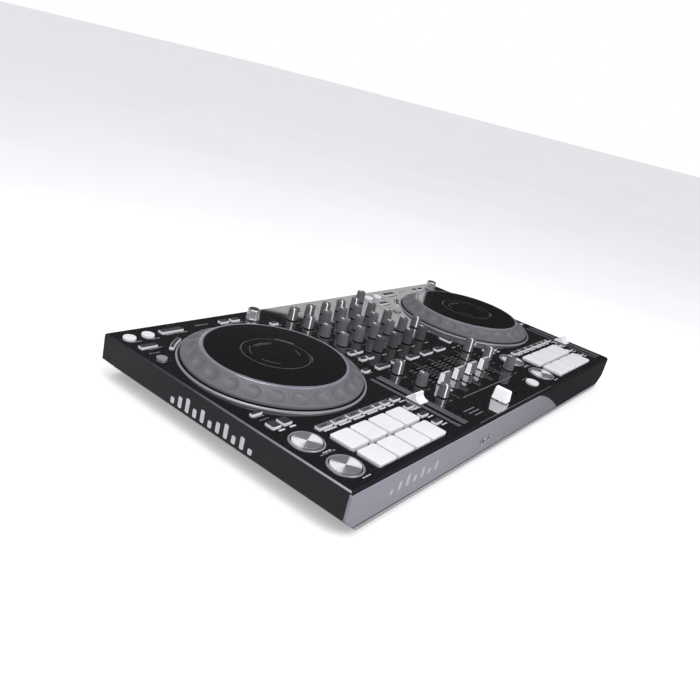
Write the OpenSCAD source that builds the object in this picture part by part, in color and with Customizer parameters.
/* [Case] */
// Overall width of the case
case_w = 708; // [700:1:716]
// Overall depth, front face to rear face
case_d = 361.4; // [358:0.2:366]
// Height of the top panel's surface above the table
panel_z = 54.4; // [53:0.2:56]
// Thickness of the top panel
panel_t = 3; // [2.5:0.1:3.5]
// Thickness of the case walls
wall = 2.5; // [2:0.1:3]
// Height of the joint between the upper and the lower case
split_z = 23.4; // [22:0.2:25]
// Height of the rubber feet
foot_h = 5.4; // [4:0.2:6]
// Inward run of the sloped lower sides
side_run = 22; // [16:1:28]
// Bevel along the top edge of the sides
edge_bevel = 1.4; // [1:0.1:2]
// Thickness of the front fascia, and size of the front bevel
fascia_t = 3; // [2.5:0.1:3.5]
// Height of the lower case's lip under the fascia
lip_h = 4.8; // [4:0.2:6]
// Height of the dark seam between the lip and the fascia
seam_h = 1.4; // [1:0.1:2]

/* [Jog wheels] */
// Distance of each deck's centre from the centre line
deck_x = 232; // [230:1:234]
// Distance of the jog centre from its deck's centre
jog_dx = 1.5; // [0:0.5:3]
// Position of the jog centre towards the rear
jog_y = 35; // [34:0.5:39]
// Radius of the jog wheel's rim
jog_r = 106.5; // [103:0.5:107]
// Radius of the jog wheel's flat top
jog_top_r = 86.8; // [84:0.2:88]
// Radius of the touch plate
plate_r = 83; // [80:0.2:84]
// Radius of the fixed centre display
display_r = 41; // [36:1:44]
// Height of the jog wheel's top above the panel
jog_h = 17.4; // [16:0.2:18]
// Number of finger dimples round the rim
dimple_n = 24; // [18:1:30]
// Radius of the fixed centre post
post_r = 9; // [7:0.5:10]

/* [Pads and keys] */
// Size of a square pad
pad_w = 29.6; // [29:0.2:31]
// Side to side pitch of the pads
pad_px = 32.2; // [32:0.1:33]
// Front to rear pitch of the pads
pad_py = 34.2; // [33:0.1:35]
// How far the pads stand above the panel
pad_h = 2.2; // [1.5:0.1:3]
// How far the keys stand above the panel
key_h = 2; // [1.8:0.1:3]
// Travel of a pad or a key
press = 1; // [0.6:0.1:1.2]
// Radius of the play and cue buttons
round_r = 15.4; // [14:0.2:16]

/* [Knobs and faders] */
// Radius of a knob at its foot
knob_r = 7.2; // [6.5:0.1:7.6]
// Height of a knob above the panel
knob_h = 17; // [15:0.5:18]
// Height of the tall knobs above the panel
tall_knob_h = 20.5; // [18:0.5:21]
// Radius of the fluted browse knobs
browse_r = 9; // [8:0.5:10]
// Height of the browse knobs above the panel
browse_h = 15.6; // [13:0.5:18]
// Radius of the control shafts
shaft_r = 3; // [2.5:0.1:3.2]
// Side to side pitch of the channel strips
strip_p = 36; // [35.2:0.1:36.2]
// Travel of a channel fader
fader_travel = 60; // [45:1:60]
// Travel of the crossfader
cross_travel = 45; // [40:1:46]
// Travel of a tempo slider
tempo_travel = 100; // [90:1:100]

/* [Hidden] */
$fn = 48;

// Case
half_w = case_w / 2;
half_d = case_d / 2;
under_z = panel_z - panel_t;
fascia_back = -half_d + fascia_t;
fascia_low = foot_h + lip_h + seam_h;
fascia_high = panel_z - fascia_t;
cut = 1;                    // overrun of every cutter
gap = 1.2;                  // clearance round everything that moves

// Stack of parts under the panel
board_z = 37;
board_t = 1.6;
pot_top = under_z - 1;
shaft_low = 42;
switch_top = board_z + board_t + 3;
main_board_z = 13;
screw_r = 2;
pillar_low = foot_h + 9.4;

// Jog wheels
jog_opening_r = jog_r + 2.2;
trim_r = jog_r + 4.3;
dish_r = jog_opening_r - 2.6;
dish_z = 41;
hub_r = 17;
hub_low = dish_z + 3.5;
jog_low = panel_z + 2;
jog_top = panel_z + jog_h;
rim_edge_z = panel_z + 5;
dimple_r = 11;
dimple_pos = [(jog_r + jog_top_r) / 2 + dimple_r * 0.58, (rim_edge_z + jog_top) / 2 + dimple_r * 0.66];

// Faders
cap_w = 18.8;
cap_h = 15.2;
cross_cap_d = 20.5;
tempo_cap_w = 17.6;
tempo_cap_d = 21;
tempo_cap_h = 9.8;
ridge_w = 3;
channel_x = [for (i = [-1.5, -0.5, 0.5, 1.5]) i * strip_p + 0.5];
left_x = -89.5;             // knob columns at the mixer's two sides
right_x = 95;
fader_mid_y = -80;
fader_rest_y = -94.4;
cross_y = -160;
cross_rest_x = -20;
slot_w = 5;
lever_t = 2;
tempo_dx = 99;
tempo_y = -104.8;

// Channel knobs
selector_y = 161.5;
trim_y = 135.3;
high_y = 104.5;
mid_y = 74;
low_y = 44.6;
filter_y = 10.8;

// Levers of the input selectors
selector_w = 12;
selector_d = 9;
selector_h = 3;
selector_travel = 5;

// Side knobs: y values, rear to front
left_knob_y = [135.2, 104.4, 74.2, 44, -46.6, -82.6, -114.6];
right_knob_y = [155, 46.4, -48.8, -80.4, -115.6];
knob_swing = 150;           // turn from the middle to the left end
depth_turn = 20;            // the effect depth knob stands just before twelve o'clock

// Deck keys: [x, y, width, depth], x from the deck's centre
mode_keys = [for (i = [0:3]) [-54.2 + 24.4 * i, -89.6, 21, 7.6], for (x = [38, 54.2]) [x, -89.6, 13, 7.6]];
column_keys = [for (y = [-89.6, -109, -129, -147.6]) [74.5, y, 14.4, 7.4]];
other_keys = [[106, -23.5, 12, 7.4], [-99.4, -38.2, 14.4, 5], [-100, -62.8, 12, 12], [-84.4, -62.8, 12, 12],
    [-45.8, 160.6, 32, 8.4], [38.4, 161, 14, 8], [57.6, 161, 14, 8], [104, 133, 12, 7.4],
    [-99.6, 133, 22, 7.4]];
deck_keys = concat(mode_keys, column_keys, other_keys);
loop_x = [-105, -80];       // round loop keys
loop_y = 159.4;
loop_r = 7.5;
cue_pos = [-93, -101];
play_pos = [-93, -149];
dial_pos = [-105.6, 101];    // small dial that sets the jog's drag
dial_r = 6;
arc_key_from = 118;         // curved key along the jog's trim ring
arc_key_to = 134;
arc_key_r = jog_r + 6.7;     // its inner radius
arc_key_pos = [jog_dx + (arc_key_r + 2.5) * cos(126), jog_y + (arc_key_r + 2.5) * sin(126)];
pad_x0 = -49.8;
pad_y0 = -119.5;
browse_pos = [85, 155];

// Mixer keys: [x, y, width, depth]
cue_keys = [for (x = channel_x) [x - 1.6, -25, 24, 8]];
side_keys = [[-91, -25, 26, 8], for (x = [-99, -84], y = [1, 19.6]) [x, y, 12, 7.4], [98, -9, 7, 19]];
mix_keys = concat(cue_keys, side_keys);
fx_pos = [89, -156.6];
fx_r = 9;

// Connectors
phones_z = 27;
phones_x = -90;
mini_x = -73;
phones_bore_r = 3.2;
mini_bore_r = 1.8;
socket_depth = 30;
xlr_deep = 13.5;
socket_z = 37;
phono_x = [-262, -240, -218, -62, -40, -18, 4, 26];
xlr_x = [72, 106];
jack_x = [-325, -292, 136, 170];
usb_x = [196, 216];
power_x = 250;
switch_x = 282;
ground_x = -190;
lock_x = 330;

// Feet and screws
foot_r = 11;
foot_pos = [for (x = [-290, 290], y = [-135, 135]) [x, y]];
screw_pos = [for (s = [-1, 1], p = [[302, 148], [318, -170.5], [109.5, 158], [109.5, -168]])
    [s * p[0], p[1]]];
mixer_post = [[-70, -165], [68, -165], [-76, 150], [76, 146]];
deck_post = [for (s = [-1, 1], p = [[-108, -168], [110.4, -60], [-108, 80], [106, 168]])
    [s * deck_x + p[0], p[1]]];
main_post = [for (x = [-160, 160], y = [68, 142]) [x, y]];

// ---------- shared shapes ----------

// rectangle with round corners, true arcs
module round_rect(w, d, r) {
    square([w - 2 * r, d], center = true);
    square([w, d - 2 * r], center = true);
    for (sx = [-1, 1], sy = [-1, 1])
        translate([sx * (w / 2 - r), sy * (d / 2 - r)]) circle(r);
}

module slab(w, d, r, h) {
    linear_extrude(h) round_rect(w, d, r);
}

// outline of the case seen from the front, between two heights
module front_outline(low, high, inset) {
    slope = side_run / (split_z - foot_h);
    run_low = max(0, (split_z - low) * slope);
    polygon([[-half_w + inset + run_low, low], [-half_w + inset, max(low, split_z)], [-half_w + inset, high],
        [half_w - inset, high], [half_w - inset, max(low, split_z)], [half_w - inset - run_low, low]]);
}

module along_y(from, to) {
    translate([0, to, 0]) rotate([90, 0, 0]) linear_extrude(to - from) children();
}

module along_x(from, to) {
    translate([from, 0, 0]) rotate([90, 0, 90]) linear_extrude(to - from) children();
}

module at_decks() {
    for (s = [-1, 1]) translate([s * deck_x, 0, 0]) children();
}

// ---------- casings ----------

module top_outline_x() {
    polygon([[-half_w, split_z], [half_w, split_z], [half_w, panel_z - edge_bevel],
        [half_w - edge_bevel, panel_z], [edge_bevel - half_w, panel_z], [-half_w, panel_z - edge_bevel]]);
}

module top_outline_y() {
    polygon([[fascia_back, split_z], [fascia_back, fascia_high], [-half_d, fascia_high],
        [fascia_back, panel_z], [half_d - edge_bevel, panel_z], [half_d, panel_z - edge_bevel],
        [half_d, split_z]]);
}

module key_holes(keys) {
    for (k = keys)
        translate([k[0], k[1], under_z - cut]) slab(k[2] + 2 * gap, k[3] + 2 * gap, 1.5, panel_t + 2 * cut);
}

module round_hole(x, y, r) {
    translate([x, y, under_z - cut]) cylinder(h = panel_t + 2 * cut, r = r);
}

module deck_holes() {
    translate([jog_dx, jog_y, under_z - cut]) cylinder(h = panel_t + 2 * cut, r = jog_opening_r, $fn = 96);
    key_holes(deck_keys);
    for (x = loop_x) round_hole(x, loop_y, loop_r + gap);
    for (p = [cue_pos, play_pos]) round_hole(p[0], p[1], round_r + gap);
    round_hole(dial_pos[0], dial_pos[1], dial_r + gap);
    round_hole(browse_pos[0], browse_pos[1], shaft_r + gap);
    translate([pad_x0 + 1.5 * pad_px, pad_y0 - pad_py / 2, under_z - cut])
        slab(3 * pad_px + pad_w + 2 * gap, pad_py + pad_w + 2 * gap, 3, panel_t + 2 * cut);
    translate([jog_dx, jog_y, under_z - cut]) arc_bar(arc_key_r - gap, arc_key_r + 5 + gap, arc_key_from - 1,
        arc_key_to + 1, panel_t + 2 * cut);
    translate([tempo_dx, tempo_y, under_z - cut])
        slab(slot_w, tempo_travel + 14, slot_w / 2 - 0.1, panel_t + 2 * cut);
}

module mixer_holes() {
    for (x = channel_x) {
        for (y = [trim_y, high_y, mid_y, low_y, filter_y]) round_hole(x, y, shaft_r + gap);
        translate([x, fader_mid_y, under_z - cut])
            slab(slot_w, fader_travel + 12, slot_w / 2 - 0.1, panel_t + 2 * cut);
    }
    for (y = left_knob_y) round_hole(left_x, y, shaft_r + gap);
    for (y = right_knob_y) round_hole(right_x, y, shaft_r + gap);
    for (x = channel_x) translate([x, selector_y, under_z - cut])
        slab(selector_travel + 4 + 2 * gap, 5, 1, panel_t + 2 * cut);
    key_holes(mix_keys);
    round_hole(fx_pos[0], fx_pos[1], fx_r + gap);
    translate([0, cross_y, under_z - cut])
        slab(cross_travel + 12, slot_w, slot_w / 2 - 0.1, panel_t + 2 * cut);
}

module rear_hole(x, z, r) {
    translate([x, half_d - wall - cut, z]) rotate([-90, 0, 0]) cylinder(h = wall + 2 * cut, r = r);
}

module rear_slot(x, z, w, h) {
    translate([x - w / 2, half_d - wall - cut, z - h / 2]) cube([w, wall + 2 * cut, h]);
}

module rear_holes() {
    for (x = phono_x, z = [socket_z - 7, socket_z + 7]) rear_hole(x, z, 4.6);
    for (x = xlr_x) rear_hole(x, socket_z, 12.2);
    for (x = jack_x) rear_hole(x, socket_z, 5.6);
    for (x = usb_x) rear_slot(x, socket_z, 12.6, 11.2);
    rear_hole(power_x, socket_z, 4.6);
    rear_slot(switch_x, socket_z, 20.4, 13.4);
    rear_hole(ground_x, socket_z, 4.2);
    rear_slot(lock_x, socket_z, 7, 3);
}

module arc_bar(r_in, r_out, from, to, h) {
    rotate([0, 0, from]) rotate_extrude(angle = to - from, $fn = 96)
        translate([r_in, 0]) square([r_out - r_in, h]);
}

module top_case() {
    color("#17171b") {
        difference() {
            intersection() {
                along_y(-half_d - cut, half_d + cut) top_outline_x();
                along_x(-half_w - cut, half_w + cut) top_outline_y();
            }
            translate([wall - half_w, fascia_back + wall, split_z - cut])
                cube([case_w - 2 * wall, half_d - wall - fascia_back - wall, under_z - split_z + cut]);
            at_decks() deck_holes();
            mixer_holes();
            rear_holes();
            phones_holes();
        }
        for (p = concat(mixer_post, deck_post)) pillar(p, board_z + board_t, 3.5, 1.2);
        for (p = screw_pos) pillar(p, pillar_low, 4.2, screw_r + 0.1);
    }
}

// hollow pillar under the panel that a screw bites into
module pillar(p, low, r, bore_r) {
    translate([p[0], p[1], low]) difference() {
        cylinder(h = under_z - low, r = r);
        translate([0, 0, -cut]) cylinder(h = cut + 6, r = bore_r);
    }
}

// openings in the wall behind the fascia for the headphone sockets
module phones_holes() {
    for (x = [phones_x, mini_x])
        translate([x, fascia_back - cut, phones_z]) rotate([-90, 0, 0]) cylinder(h = wall + 2 * cut, r = 6.1);
}

module bottom_outline_y(inset) {
    polygon([[-half_d + inset, foot_h + inset], [-half_d + inset, foot_h + lip_h],
        [fascia_back + inset, foot_h + lip_h], [fascia_back + inset, split_z + (inset > 0 ? cut : 0)],
        [half_d - inset, split_z + (inset > 0 ? cut : 0)], [half_d - inset, foot_h + inset]]);
}

module bottom_case() {
    color("#202024") difference() {
        union() {
            difference() {
                intersection() {
                    along_y(-half_d - cut, half_d + cut) front_outline(foot_h, split_z, 0);
                    along_x(-half_w - cut, half_w + cut) bottom_outline_y(0);
                }
                intersection() {
                    along_y(-half_d, half_d) front_outline(foot_h, split_z + cut, wall);
                    along_x(-half_w, half_w) bottom_outline_y(wall);
                }
            }
            for (p = concat(screw_pos, foot_pos))
                translate([p[0], p[1], foot_h]) cylinder(h = 9, r = 5);
            for (p = main_post)
                translate([p[0], p[1], foot_h]) cylinder(h = main_board_z - foot_h, r = 4);
        }
        for (p = screw_pos)
            translate([p[0], p[1], foot_h - cut]) {
                cylinder(h = 11, r = screw_r + 0.2);
                cylinder(h = cut + 3, r = 4);
            }
        for (p = foot_pos)
            translate([p[0], p[1], foot_h - cut]) cylinder(h = 9, r = 3);
        for (x = [phones_x, mini_x])
            translate([x, -half_d - cut, phones_z]) rotate([-90, 0, 0]) cylinder(h = 10, r = 5.9);
        for (x = [-60:6:60], y = [-40, 40])
            translate([x - 1.25, y - 20, foot_h - cut]) cube([2.5, 40, wall + 2 * cut]);
    }
}

module front_fascia() {
    color("#9a99a6") difference() {
        along_y(-half_d, fascia_back - 0.1) front_outline(fascia_low, fascia_high - 0.1, 0);
        for (x = [phones_x, mini_x])
            translate([x, -half_d - cut, phones_z]) rotate([-90, 0, 0])
                cylinder(h = fascia_t + 2 * cut, r = x == phones_x ? 5.4 : 3.6);
    }
}

// ---------- jog wheels ----------

// fixed parts of both jogs: trim ring with its dish, centre post and display, and the drag dial
module jog_base() {
    rotate_extrude($fn = 96) polygon([[post_r, dish_z], [jog_opening_r - 0.4, dish_z],
        [jog_opening_r - 0.4, panel_z], [trim_r, panel_z], [trim_r - 0.2, panel_z + 0.8],
        [trim_r - 1, panel_z + 1.4], [jog_r + 1.2, panel_z + 1.4], [jog_r + 1.2, panel_z + 0.2],
        [dish_r, panel_z - 1], [dish_r, dish_z + 2], [post_r, dish_z + 2]]);
    translate([0, 0, dish_z]) cylinder(h = jog_top - 3 - dish_z, r = post_r);
    translate([0, 0, jog_top - 3]) cylinder(h = 2.2, r = display_r);
    translate([0, 0, dish_z + 2]) difference() {
        cylinder(h = 1, r = hub_r - 2);
        cylinder(h = 3, r = post_r + 2, center = true);
    }
}

module jog_bases() {
    color("#b9b9c1") at_decks() {
        translate([jog_dx, jog_y, 0]) jog_base();
        translate([dial_pos[0], dial_pos[1], under_z - 3]) cylinder(h = panel_t + 5, r = dial_r);
        translate([dial_pos[0], dial_pos[1], board_z + board_t])
            cylinder(h = under_z - board_z - 4, r = shaft_r);
    }
}

// turning rim with its finger dimples, web and hub
module jog_rim() {
    difference() {
        rotate_extrude($fn = 96) polygon([[post_r + gap, hub_low], [hub_r, hub_low], [hub_r, jog_top - 9],
            [jog_r - 6, jog_low], [jog_r, jog_low], [jog_r, rim_edge_z], [jog_top_r + 1.2, jog_top - 0.9],
            [jog_top_r - 0.2, jog_top], [plate_r + 0.4, jog_top - 0.4], [plate_r + 0.4, jog_top - 2.4],
            [display_r + gap, jog_top - 2.4], [display_r + gap, jog_top - 5.4],
            [post_r + gap, jog_top - 5.4]]);
        for (i = [0:dimple_n - 1])
            rotate([0, 0, i * 360 / dimple_n])
                translate([dimple_pos[0], 0, dimple_pos[1]]) sphere(dimple_r);
    }
}

module jog_plate() {
    rotate_extrude($fn = 96) polygon([[display_r + gap, jog_top - 2.3], [plate_r, jog_top - 2.3],
        [plate_r, jog_top - 0.3], [plate_r - 0.4, jog_top], [display_r + gap + 0.3, jog_top],
        [display_r + gap, jog_top - 0.3]]);
}

module jog_rim_left() { color("#77777c") translate([jog_dx - deck_x, jog_y, 0]) jog_rim(); }
module jog_rim_right() { color("#77777c") translate([jog_dx + deck_x, jog_y, 0]) jog_rim(); }
module jog_plate_left() { color("#121216") translate([jog_dx - deck_x, jog_y, 0]) jog_plate(); }
module jog_plate_right() { color("#121216") translate([jog_dx + deck_x, jog_y, 0]) jog_plate(); }

// ---------- pads and keys ----------

pad_pos = [for (i = [0:3], j = [0:1]) [pad_x0 + i * pad_px, pad_y0 - j * pad_py]];

module pads() {
    for (p = pad_pos) {
        translate([p[0], p[1], under_z - 1]) slab(pad_w, pad_w, 3, panel_t + 1 + pad_h);
        stem(p);
    }
}

// stem under a key or a pad, which stops short of its switch by a little more than its travel
module stem(p) {
    low = switch_top + press + 0.2;
    translate([p[0], p[1], low]) cylinder(h = under_z - 1 - low, r = 2);
}

module key_caps(keys) {
    for (k = keys) {
        translate([k[0], k[1], under_z - 2]) slab(k[2], k[3], 1, panel_t + 2 + key_h);
        stem(k);
    }
}

module round_button(p, r) {
    translate([p[0], p[1], under_z - 2]) rotate_extrude() polygon([[0, 0], [r, 0], [r, panel_t + 3.4],
        [r - 0.6, panel_t + 4], [0, panel_t + 4]]);
    stem(p);
}

module deck_key_caps() {
    key_caps(deck_keys);
    for (x = loop_x) round_button([x, loop_y], loop_r);
    round_button(cue_pos, round_r);
    round_button(play_pos, round_r);
    translate([jog_dx, jog_y, under_z - 2]) arc_bar(arc_key_r, arc_key_r + 5, arc_key_from, arc_key_to,
        panel_t + 2 + key_h);
    stem(arc_key_pos);
}

module pads_left() { color("#f0f0ee") translate([-deck_x, 0, 0]) pads(); }
module pads_right() { color("#f0f0ee") translate([deck_x, 0, 0]) pads(); }
module keys_left() { color("#d8d8da") translate([-deck_x, 0, 0]) deck_key_caps(); }
module keys_right() { color("#d8d8da") translate([deck_x, 0, 0]) deck_key_caps(); }

module mixer_keys() {
    color("#d8d8da") {
        key_caps(mix_keys);
        round_button(fx_pos, fx_r);
    }
}

// ---------- knobs ----------

// turned knob on its shaft; at turn 0 its pointer groove faces the rear
module knob(x, y, h, turn = 0) {
    color("#3c3c42") translate([x, y, 0]) rotate([0, 0, turn]) {
        difference() {
            translate([0, 0, panel_z + 1]) rotate_extrude() polygon([[0, 0], [knob_r, 0], [knob_r, 1.4],
                [knob_r - 0.8, h - 1.7], [knob_r - 1.5, h - 1], [0, h - 1]]);
            translate([-0.6, 0.8, panel_z + h - 0.7]) cube([1.2, knob_r, 2]);
        }
        translate([0, 0, shaft_low]) cylinder(h = panel_z + 2 - shaft_low, r = shaft_r);
    }
}

// fluted browse knob with a domed edge
module browse_knob(side) {
    color("#c9c9cf") translate([side * deck_x + browse_pos[0], browse_pos[1], 0]) {
        translate([0, 0, panel_z + 1]) cylinder(h = 2, r = browse_r);
        translate([0, 0, panel_z + 2]) linear_extrude(browse_h - 4) difference() {
            circle(browse_r - 0.4);
            for (i = [0:17]) rotate(i * 20) translate([browse_r, 0]) circle(1);
        }
        translate([0, 0, panel_z + browse_h - 2]) rotate_extrude() polygon([[0, 0], [browse_r - 0.4, 0],
            [browse_r - 0.6, 0.8], [browse_r - 1.6, 1.8], [browse_r - 2.4, 2], [0, 2]]);
        translate([0, 0, shaft_low]) cylinder(h = panel_z + 2 - shaft_low, r = shaft_r);
    }
}

module channel_knob(channel, y, h, turn = 0) { knob(channel_x[channel - 1], y, h, turn); }
module left_knob(i, turn = 0) { knob(left_x, left_knob_y[i], knob_h, turn); }
module right_knob(i, h, turn = 0) { knob(right_x, right_knob_y[i], h, turn); }

// ---------- faders ----------

// tapered cap seen from its end, with a small groove along its top
module cap_outline(foot, top, h) {
    polygon([[-foot / 2, 0], [foot / 2, 0], [top / 2 + 0.2, h - 0.8], [top / 2 - 0.5, h], [0.6, h],
        [0.6, h - 0.5], [-0.6, h - 0.5], [-0.6, h], [0.5 - top / 2, h], [-top / 2 - 0.2, h - 0.8]]);
}

module fader_cap(channel) {
    color("#c4c4ca") translate([channel_x[channel - 1], fader_rest_y, 0]) {
        translate([-cap_w / 2, 0, panel_z + 1.2]) rotate([90, 0, 90]) linear_extrude(cap_w)
            cap_outline(8, 6.2, cap_h);
        translate([-lever_t / 2, -3.5, shaft_low]) cube([lever_t, 7, panel_z + 2 - shaft_low]);
    }
}

module crossfader_cap() {
    color("#eeeef0") translate([cross_rest_x, cross_y, 0]) {
        translate([0, cross_cap_d / 2, panel_z + 1.2]) rotate([90, 0, 0]) linear_extrude(cross_cap_d)
            cap_outline(13, 6.6, cap_h);
        translate([-3.5, -lever_t / 2, shaft_low]) cube([7, lever_t, panel_z + 2 - shaft_low]);
    }
}

// sweeps up on both sides, along circular hollows, to a narrow ridge
module tempo_outline() {
    hollow_r = 8.6;
    difference() {
        translate([-tempo_cap_d / 2, 0]) square([tempo_cap_d, tempo_cap_h]);
        for (s = [-1, 1]) translate([s * (ridge_w / 2 + hollow_r), 1.4 + hollow_r]) {
            circle(hollow_r);
            translate([s > 0 ? 0 : -hollow_r - cut, -hollow_r]) square([hollow_r + cut, 2 * hollow_r]);
            translate([-hollow_r, 0]) square([2 * hollow_r, hollow_r + cut]);
        }
    }
}

module tempo_cap(side) {
    color("#cfcfd4") translate([side * deck_x + tempo_dx, tempo_y, 0]) {
        translate([-tempo_cap_w / 2, 0, panel_z + 1.2]) rotate([90, 0, 90]) linear_extrude(tempo_cap_w)
            tempo_outline();
        translate([-lever_t / 2, -3.5, shaft_low]) cube([lever_t, 7, panel_z + 2 - shaft_low]);
    }
}

// low levers that slide sideways and choose each channel's input
module input_selectors() {
    color("#1c1c20") for (x = channel_x) translate([x, selector_y, 0]) {
        translate([0, 0, panel_z + 0.6]) slab(selector_w, selector_d, 1.4, selector_h);
        translate([-2, -1.3, shaft_low]) cube([4, 2.6, panel_z + 1 - shaft_low]);
    }
}

// ---------- inside ----------

module pot(x, y) {
    translate([x, y, board_z + board_t]) difference() {
        translate([-7, -7, 0]) cube([14, 14, pot_top - board_z - board_t]);
        translate([0, 0, shaft_low - gap - board_z - board_t]) cylinder(h = 20, r = shaft_r + gap);
    }
}

// box with a slot along y for the lever
module fader_box(w, travel) {
    box_h = under_z - 0.2 - board_z - board_t;
    translate([0, 0, board_z + board_t]) difference() {
        translate([-w / 2, -travel / 2 - 12, 0]) cube([w, travel + 24, box_h]);
        translate([-slot_w / 2, -travel / 2 - 6, shaft_low - gap - board_z - board_t])
            cube([slot_w, travel + 12, box_h]);
    }
}

module pots_and_fader_units() {
    color("#8d8f94") {
        for (x = channel_x, y = [trim_y, high_y, mid_y, low_y, filter_y]) pot(x, y);
        for (y = left_knob_y) pot(left_x, y);
        for (y = right_knob_y) pot(right_x, y);
        at_decks() pot(browse_pos[0], browse_pos[1]);
        for (x = channel_x) {
            translate([x, fader_mid_y, 0]) fader_box(12, fader_travel - 2);
            translate([x, selector_y, 0]) rotate([0, 0, 90]) fader_box(10, selector_travel);
        }
        at_decks() translate([tempo_dx, tempo_y, 0]) fader_box(12, tempo_travel);
        translate([0, cross_y, 0]) rotate([0, 0, 90]) fader_box(12, cross_travel);
    }
}

// room in the boards for a connector that lies at their height
module connector_notch(x, w, deep) {
    translate([x - w / 2 - gap, half_d - deep - gap, board_z - cut])
        cube([w + 2 * gap, deep, board_t + 2 * cut]);
}

module upper_boards() {
    translate([-102, -172, board_z]) cube([204, 340, board_t]);
    at_decks() difference() {
        translate([-115, -172, board_z]) cube([230, 344, board_t]);
        translate([jog_dx, jog_y, board_z - cut])
            cylinder(h = board_t + 2 * cut, r = jog_opening_r + 2, $fn = 96);
    }
}

module switches() {
    at_decks() {
        for (p = concat(deck_keys, pad_pos, [cue_pos, play_pos, arc_key_pos])) switch_block(p);
        for (x = loop_x) switch_block([x, loop_y]);
    }
    for (p = concat(mix_keys, [fx_pos])) switch_block(p);
}

module switch_block(p) {
    translate([p[0] - 3, p[1] - 3, board_z + board_t]) cube([6, 6, switch_top - board_z - board_t]);
}

module circuit_boards() {
    color("#1d5c3a") {
        difference() {
            upper_boards();
            for (p = screw_pos) translate([p[0], p[1], board_z - cut]) cylinder(h = board_t + 2 * cut, r = 5);
            for (x = xlr_x) connector_notch(x, 23.6, xlr_deep);
            for (x = jack_x) connector_notch(x, 10.6, socket_depth);
            for (x = usb_x) connector_notch(x, 12, 16);
            connector_notch(power_x, 8.6, 14);
            connector_notch(switch_x, 20, 12);
        }
        translate([-170, 62, main_board_z]) cube([340, 88, board_t]);
        switches();
    }
}

// ---------- connectors, feet and screws ----------

module barrel(x, z, r_out, r_in, out, deep) {
    translate([x, half_d + out, z]) rotate([90, 0, 0]) difference() {
        cylinder(h = out + deep, r = r_out);
        translate([0, 0, -cut]) cylinder(h = out + deep - 2, r = r_in);
    }
}

module rear_sockets() {
    color("#a8a8ae") {
        for (x = phono_x, z = [socket_z - 7, socket_z + 7]) barrel(x, z, 4.2, 1.7, 6.2, 12);
        for (x = xlr_x) {
            barrel(x, socket_z, 11.8, 9.6, 0.4, xlr_deep);
            for (a = [90, 210, 330])
                translate([x + 4 * cos(a), half_d - 2, socket_z + 4 * sin(a)]) rotate([90, 0, 0])
                    cylinder(h = xlr_deep - 2, r = 1.2);
        }
        for (x = jack_x) barrel(x, socket_z, 5.3, phones_bore_r, 1.2, socket_depth);
        for (x = usb_x) translate([x - 6, half_d - 16, socket_z - 5.3]) difference() {
            cube([12, 16.4, 10.6]);
            translate([1.2, 6, 1.2]) cube([9.6, 12, 8.2]);
        }
        barrel(power_x, socket_z, 4.3, 2.8, 0.4, 14);
        translate([switch_x - 10, half_d - 12, socket_z - 6.5]) cube([20, 12.8, 13]);
        translate([ground_x, half_d + 6.4, socket_z]) rotate([90, 0, 0]) cylinder(h = 14.4, r = 3.9);
        phones_socket(phones_x, 5.1, phones_bore_r);
        phones_socket(mini_x, 3.3, mini_bore_r);
    }
}

// headphone socket with a true bore, open to the front
module phones_socket(x, r_out, r_in) {
    translate([x, -half_d - 0.6, phones_z]) rotate([-90, 0, 0]) difference() {
        cylinder(h = socket_depth, r = r_out);
        translate([0, 0, -cut]) cylinder(h = socket_depth - 2 + cut, r = r_in);
    }
}

module rubber_feet() {
    color("#101012") for (p = foot_pos)
        translate([p[0], p[1], 0]) {
            rotate_extrude() polygon([[0, 0], [foot_r - 1, 0], [foot_r, 1], [foot_r, foot_h], [0, foot_h]]);
            cylinder(h = foot_h + 6, r = 2.8);
        }
}

module case_screws() {
    color("#55555a") for (p = screw_pos)
        translate([p[0], p[1], foot_h + 0.4]) difference() {
            union() {
                cylinder(h = 2.4, r = 3.6);
                cylinder(h = 12, r = screw_r);
            }
            translate([-2, -0.4, -cut]) cube([4, 0.8, cut + 1]);
            translate([-0.4, -2, -cut]) cube([0.8, 4, cut + 1]);
        }
}

// ---------- nodes ----------

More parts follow.
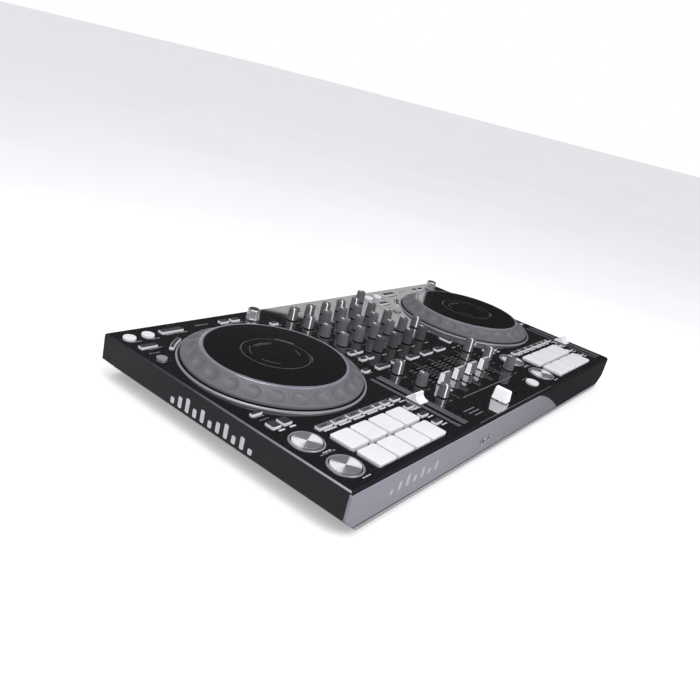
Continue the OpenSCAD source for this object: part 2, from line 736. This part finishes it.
top_case();
bottom_case();
front_fascia();
jog_bases();
rear_sockets();
rubber_feet();
case_screws();
circuit_boards();
pots_and_fader_units();
input_selectors();
jog_rim_left();
jog_plate_left();
jog_rim_right();
jog_plate_right();
tempo_cap(-1);  // tempo_cap_left
tempo_cap(1);  // tempo_cap_right
browse_knob(-1);  // browse_knob_left
browse_knob(1);  // browse_knob_right
pads_left();
pads_right();
keys_left();
keys_right();
mixer_keys();
fader_cap(1);  // fader_cap_1
fader_cap(2);  // fader_cap_2
fader_cap(3);  // fader_cap_3
fader_cap(4);  // fader_cap_4
crossfader_cap();
channel_knob(1, trim_y, knob_h, knob_swing);  // trim_knob_1
channel_knob(2, trim_y, knob_h, knob_swing);  // trim_knob_2
channel_knob(3, trim_y, knob_h, knob_swing);  // trim_knob_3
channel_knob(4, trim_y, knob_h, knob_swing);  // trim_knob_4
channel_knob(1, high_y, tall_knob_h);  // high_knob_1
channel_knob(2, high_y, tall_knob_h);  // high_knob_2
channel_knob(3, high_y, tall_knob_h);  // high_knob_3
channel_knob(4, high_y, tall_knob_h);  // high_knob_4
channel_knob(1, mid_y, tall_knob_h);  // mid_knob_1
channel_knob(2, mid_y, tall_knob_h);  // mid_knob_2
channel_knob(3, mid_y, tall_knob_h);  // mid_knob_3
channel_knob(4, mid_y, tall_knob_h);  // mid_knob_4
channel_knob(1, low_y, tall_knob_h);  // low_knob_1
channel_knob(2, low_y, tall_knob_h);  // low_knob_2
channel_knob(3, low_y, tall_knob_h);  // low_knob_3
channel_knob(4, low_y, tall_knob_h);  // low_knob_4
channel_knob(1, filter_y, tall_knob_h);  // filter_knob_1
channel_knob(2, filter_y, tall_knob_h);  // filter_knob_2
channel_knob(3, filter_y, tall_knob_h);  // filter_knob_3
channel_knob(4, filter_y, tall_knob_h);  // filter_knob_4
left_knob(0, knob_swing);  // mic_1_knob
left_knob(1, knob_swing);  // mic_2_knob
left_knob(2);  // mic_high_knob
left_knob(3);  // mic_low_knob
left_knob(4, knob_swing);  // sampler_knob
left_knob(5);  // phones_mix_knob
left_knob(6, knob_swing);  // phones_level_knob
right_knob(0, knob_h);  // master_knob
right_knob(1, knob_h, knob_swing);  // booth_knob
right_knob(2, tall_knob_h, knob_swing);  // effect_knob
right_knob(3, tall_knob_h, knob_swing);  // effect_channel_knob
right_knob(4, tall_knob_h, depth_turn);  // effect_depth_knob
